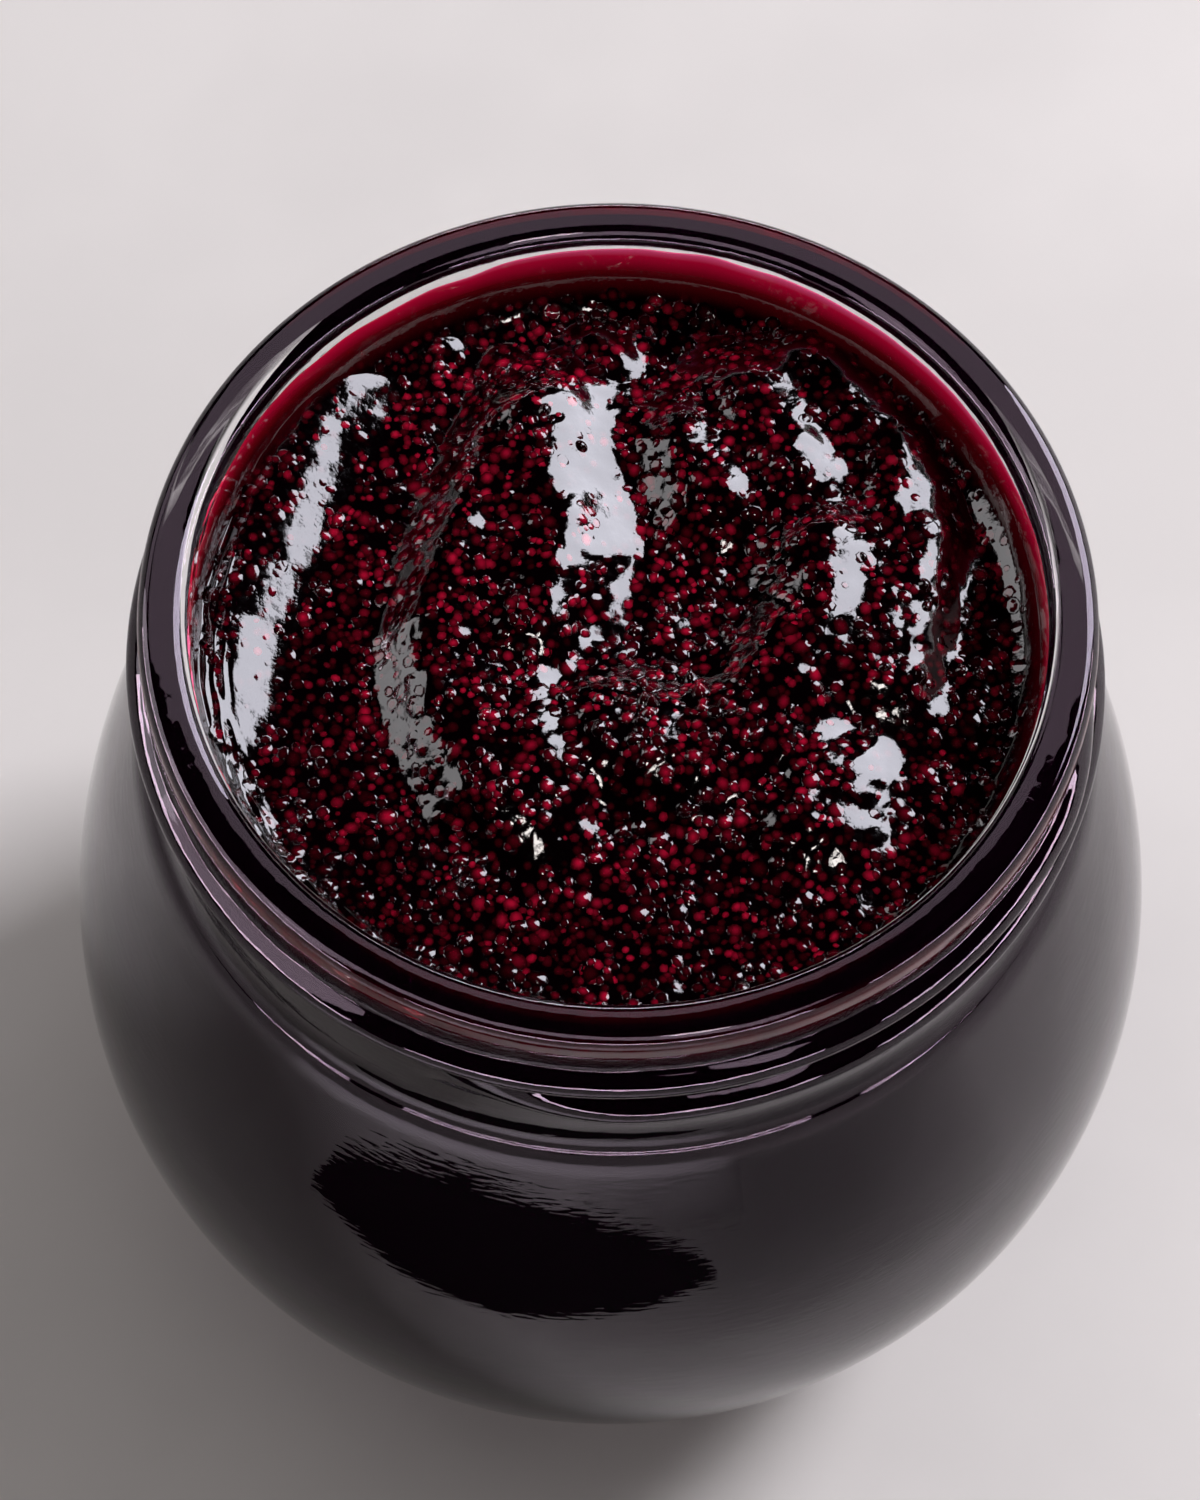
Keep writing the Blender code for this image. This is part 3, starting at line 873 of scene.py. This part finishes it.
def pressed_finish(syrup):
    """Syrup seen through the glass: it wets the wall, so it has no gloss of its own. Its film near the top
    has a painted glow.
    """
    made, tree = finish("syrup_behind_glass")
    painted_glow, shade = thin_colour_and_painted_glow(tree, syrup, syrup.plum)
    wavy = wavy_surface(tree, 0.06, 0.5, 0.5)
    cloudy = tree.mix(tree.math("MULTIPLY", wavy["Mask"], 0.3), shade, opaque(syrup.plum))
    tree.shade({
        "Base Color": cloudy,
        # Painted glow: emission of the film behind the lip stands in for light coming in through the glass.
        "Emission Color": tree.mix(painted_glow, BLACK, cloudy),
        "Emission Strength": 0.3,
        "Roughness": 0.9,
        "Specular IOR Level": 0.0,
    })
    return made


def seed_finish(syrup):
    """Wet red seeds, darker at their feet where syrup covers them and uneven from seed to seed, with bright
    tops and a faint emission as a painted glow of light through the seeds.
    """
    made, tree = finish("syrup_seeds")
    rounded = tree.math("POWER", tree.value("cap"), 1.7)
    tone_and_painted_glow = tree.math("MULTIPLY", rounded, tree.span(tree.value("tone"), 0.0, 0.75, 0.04, 1.0))
    red = tree.mix(tone_and_painted_glow, opaque(syrup.dark), opaque(syrup.glow))
    # Painted glow: bright tops and emission stand in for light shining through the seeds.
    tree.shade({"Base Color": red, "Emission Color": red, "Emission Strength": 0.06})
    wet_gloss(tree, 0.5, 3.0, 0.5, 0.2, 0.05, 0.14)
    return made


def floor_finish(studio):
    """Pale matt floor with a faint mottle."""
    made, tree = finish("pale_floor")
    mottle = tree.span(tree.noise(tree.place(0.02, 0.02), 1.0, 3.0), 0.35, 0.65)
    pale = tree.mix(mottle, opaque(studio.floor_colour, 0.94), opaque(studio.floor_colour))
    tree.shade({"Base Color": pale, "Roughness": 0.75})
    return made


# Operators

def settings(context):
    """Settings of the glass, the syrup and the seeds."""
    scene = context.scene
    return scene.jar_glass_sizes, scene.syrup_sizes, scene.seed_sizes


class MakeGlass(bpy.types.Operator):
    """Make the glass jar with its screw neck"""

    bl_idname = "syrup_jar.make_glass"
    bl_label = "Glass Jar"

    def execute(self, context):
        glass = context.scene.jar_glass_sizes
        piece = glass_piece(glass)
        piece.data.materials.append(glass_finish(glass))
        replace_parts(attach(piece, "root"), "jar")
        return {"FINISHED"}


class MakeSyrup(bpy.types.Operator):
    """Make the syrup with its folds and its wet film on the glass"""

    bl_idname = "syrup_jar.make_syrup"
    bl_label = "Syrup"

    def execute(self, context):
        glass, syrup, _ = settings(context)
        piece = syrup_piece(glass, syrup)
        piece.data.materials.append(syrup_finish(syrup))
        piece.data.materials.append(pressed_finish(syrup))
        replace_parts(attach(piece, "root"), "syrup")
        return {"FINISHED"}


class MakeSeeds(bpy.types.Operator):
    """Scatter the seeds in the syrup's surface"""

    bl_idname = "syrup_jar.make_seeds"
    bl_label = "Seeds"

    def execute(self, context):
        glass, syrup, seeds = settings(context)
        seedy = seed_finish(syrup)
        bright = (seeds.spacing, seeds.reach, seeds.rise, 4, 8, seeds.seed)
        sunken = (seeds.fine_spacing, seeds.fine_reach, seeds.fine_rise, 2, 7, seeds.seed + 20)
        for name, row in (("syrup_seeds", bright), ("sunken_seeds", sunken)):
            piece = seed_layer(glass, syrup, seeds.spread, name, *row)
            piece.data.materials.append(seedy)
            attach(piece, "root")
        return {"FINISHED"}


class MakeWetDetails(bpy.types.Operator):
    """Add the bubbles in the surface and the smears on the glass"""

    bl_idname = "syrup_jar.make_wet_details"
    bl_label = "Bubbles and Smears"

    def execute(self, context):
        glass, syrup, seeds = settings(context)
        wet = bpy.data.materials["elderberry_syrup"]
        for piece in (bubbles_piece(glass, syrup, seeds), smears_piece(glass, seeds)):
            piece.data.materials.append(wet)
            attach(piece, "root")
        return {"FINISHED"}


def soft_light(name, place, size, brightness, shade):
    """A rectangular light that looks at the syrup and isn't seen itself."""
    data = bpy.data.lights.new(name, "AREA")
    data.shape = "RECTANGLE"
    data.size, data.size_y = size
    data.color = shade
    data.energy = brightness * np.pi * size[0] * size[1]
    lamp = bpy.data.objects.new(name, data)
    lamp.location = place
    lamp.rotation_euler = (LIT_POINT - Vector(place)).to_track_quat("-Z", "Y").to_euler()
    lamp.visible_camera = False
    bpy.context.scene.collection.objects.link(lamp)
    return lamp


def floor_card(name, start, end, near, far, lift, shade, glow=0.0):
    """A black or glowing card just over the floor, bent round the jar, that only reflections show.

    Its edges are radii from the start to the end angle, and shade is its opacity.
    """
    rows, columns = shade.shape
    angle = np.radians(np.linspace(start, end, rows))[:, None]
    radius = near + (far - near) * np.linspace(0.0, 1.0, columns)
    points = turned(radius, angle, lift).reshape(-1, 3)
    row = np.arange(rows - 1)[:, None] * columns + np.arange(columns - 1)
    quads = np.stack((row, row + columns, row + columns + 1, row + 1), -1)
    card = add_mesh(name, points, quads.ravel(), np.full(row.size, 4))
    add_values(card, "shade", shade)
    made, tree = finish(name + "_card")
    tree.shade({
        "Base Color": (0.002, 0.002, 0.002, 1.0),
        "Roughness": 1.0,
        "Emission Color": (1.0, 0.95, 1.0, 1.0),
        "Emission Strength": glow,
        "Alpha": tree.value("shade"),
    })
    card.data.materials.append(made)
    for ray in ("camera", "transmission", "shadow", "diffuse"):
        setattr(card, "visible_" + ray, False)
    return card


def dark_cards():
    """A black leaf in front of the jar on the left, a soft shade on its right and a gleam behind it.

    At t from 0 to 1 along it, the leaf's far edge is at 110 + 36 sin(pi t^0.8)^0.6 mm from the
    axis and its near edge at 108 - 17 sin(pi t).
    """
    share = np.linspace(0.0, 1.0, 32)[:, None]
    far = 0.110 + 0.036 * np.sin(np.pi * share ** 0.8) ** 0.6
    near = 0.108 - 0.017 * np.sin(np.pi * share)
    leaf = floor_card("flag", -135.0, -73.0, near, far, 0.006, np.ones((32, 3)))
    across = np.linspace(0.0, 1.0, 16)
    soft = 0.55 * np.sin(np.pi * share) ** 0.7 * np.sin(np.pi * across ** 0.7)
    shade = floor_card("soft_shade", -95.0, -26.0, 0.078, 0.235, 0.004, np.abs(soft))
    bright = np.abs(np.sin(np.pi * share)) ** 0.5 * smooth_step(across, 0.0, 0.2)
    bright = bright * smooth_step(-across, -1.0, -0.6)
    gleam = floor_card("gleam", -146.0, -68.0, 0.135, 0.40, 0.005, bright, 1.8)
    return leaf, shade, gleam


def floor_piece(studio):
    """The floor, a disc whose edge turns up softly to the wall's height."""
    rows, columns = 39, 96
    edge = 1.35 * studio.floor_radius
    radius = edge * np.linspace(0.0, 1.0, rows + 1)[1:, None]
    height = studio.wall_height * smooth_step(radius, studio.floor_radius, edge)
    rings = turned(radius, steps_round(columns), height).reshape(-1, 3)
    corners, sizes = round_faces(rows, columns)
    points = np.concatenate((np.zeros((1, 3)), rings))
    floor = add_mesh("floor", points, corners[:-3 * columns], sizes[:-columns])
    floor.data.materials.append(floor_finish(studio))
    return floor


def studio_lights(studio):
    """All lights: two light the floor and the jar, three show in gloss alone, and eight in the glass alone.

    Each row is a name, a place, a size, a brightness and a colour.
    """
    pink = (1.0, 0.84, 0.95)
    strip, panel = studio.strip_power, studio.panel_power
    lights = [soft_light(*row) for row in (
        ("key", (1.08, 0.66, 1.0), (0.52, 0.56), studio.key_power, (0.93, 0.92, 1.0)),
        ("fill", (-0.2, 0.2, 1.3), (1.2, 1.2), studio.fill_power, (1.0, 0.96, 1.0)),
        ("window", (0.60, 0.55, 0.66), (0.53, 0.66), studio.window_power, (0.90, 0.89, 1.0)),
        ("left_window", (-1.1, 0.35, 0.75), (0.6, 0.75), studio.left_power, (1.0, 0.97, 1.0)),
        ("lamp", (0.15, -0.33, 0.95), (0.12, 0.12), studio.lamp_power, (1.0, 0.93, 0.90)),
        ("front_strip", (0.0, -1.3, 0.50), (1.9, 0.11), strip, pink),
        ("back_strip", (0.0, 1.3, 0.22), (2.4, 0.16), strip, pink),
        ("left_strip", (-1.25, -0.2, 0.50), (1.7, 0.11), strip, pink),
        ("right_strip", (1.25, -0.2, 0.50), (1.7, 0.11), strip, pink),
        ("left_panel", (-1.0, -0.25, 0.75), (0.9, 0.55), panel, pink),
        ("top_panel", (-0.15, -0.45, 0.95), (1.5, 0.4), panel, pink),
        ("roof_panel", (0.0, 0.83, 1.10), (1.2, 0.6), 0.42 * panel, pink),
        ("back_panel", (-0.80, 0.62, 0.72), (0.5, 0.5), 0.5 * panel, pink),
    )]
    for light in lights[:2]:
        light.visible_glossy = False
    for light in lights[2:]:
        light.visible_diffuse = False
    lit_glass = bpy.data.collections.new("lit_glass")
    lit_glass.objects.link(bpy.data.objects[GLASS_NAME])
    for light in lights[5:]:
        light.light_linking.receiver_collection = lit_glass
    return lights


class MakeStage(bpy.types.Operator):
    """Make the pale floor, the soft lights and the camera"""

    bl_idname = "syrup_jar.make_stage"
    bl_label = "Stage"

    def execute(self, context):
        studio = context.scene.studio_sizes
        floor = floor_piece(studio)
        cards = dark_cards()
        lights = studio_lights(studio)
        world = bpy.data.worlds.new("studio")
        context.scene.world = world
        world.use_nodes = True
        room = world.node_tree.nodes["Background"].inputs
        Tree(world.node_tree).feed(room, {"Color": (1.0, 0.98, 1.0, 1.0), "Strength": studio.ambient})
        world.cycles_visibility.glossy = False
        context.scene.view_settings.view_transform = "Standard"
        camera = bpy.data.objects.new("camera", bpy.data.cameras.new("camera"))
        camera.data.lens = studio.lens
        camera.data.sensor_width = 36.0
        camera.data.clip_start = 0.01
        camera.location = CAMERA_PLACE
        camera.rotation_euler = Euler(np.radians(CAMERA_TURN), "ZYX").to_matrix().to_euler()
        context.scene.collection.objects.link(camera)
        context.scene.camera = camera
        return {"FINISHED"}


class SyrupJarPanel(bpy.types.Panel):
    """Lists the steps that build the jar"""

    bl_idname = "VIEW3D_PT_syrup_jar"
    bl_label = "Syrup Jar"
    bl_space_type = "VIEW_3D"
    bl_region_type = "UI"
    bl_category = "Syrup Jar"

    def draw(self, context):
        for step in STEPS:
            self.layout.operator(step.bl_idname)


SETTINGS = {
    "jar_glass_sizes": JarGlassSizes,
    "syrup_sizes": SyrupSizes,
    "seed_sizes": SeedSizes,
    "studio_sizes": StudioSizes,
}
STEPS = (MakeGlass, MakeSyrup, MakeSeeds, MakeWetDetails, MakeStage)


def register():
    """Adds the classes and the settings to Blender."""
    for name, group in SETTINGS.items():
        bpy.utils.register_class(group)
        setattr(bpy.types.Scene, name, PointerProperty(type=group))
    for kind in (*STEPS, SyrupJarPanel):
        bpy.utils.register_class(kind)


def unregister():
    """Takes them out again."""
    for kind in (SyrupJarPanel, *reversed(STEPS)):
        bpy.utils.unregister_class(kind)
    for name, group in reversed(SETTINGS.items()):
        delattr(bpy.types.Scene, name)
        bpy.utils.unregister_class(group)


def main():
    """Builds every piece."""
    register()
    bpy.ops.syrup_jar.make_glass()
    bpy.ops.syrup_jar.make_syrup()
    bpy.ops.syrup_jar.make_seeds()
    bpy.ops.syrup_jar.make_wet_details()
    bpy.ops.syrup_jar.make_stage()


if __name__ == "__main__":
    main()
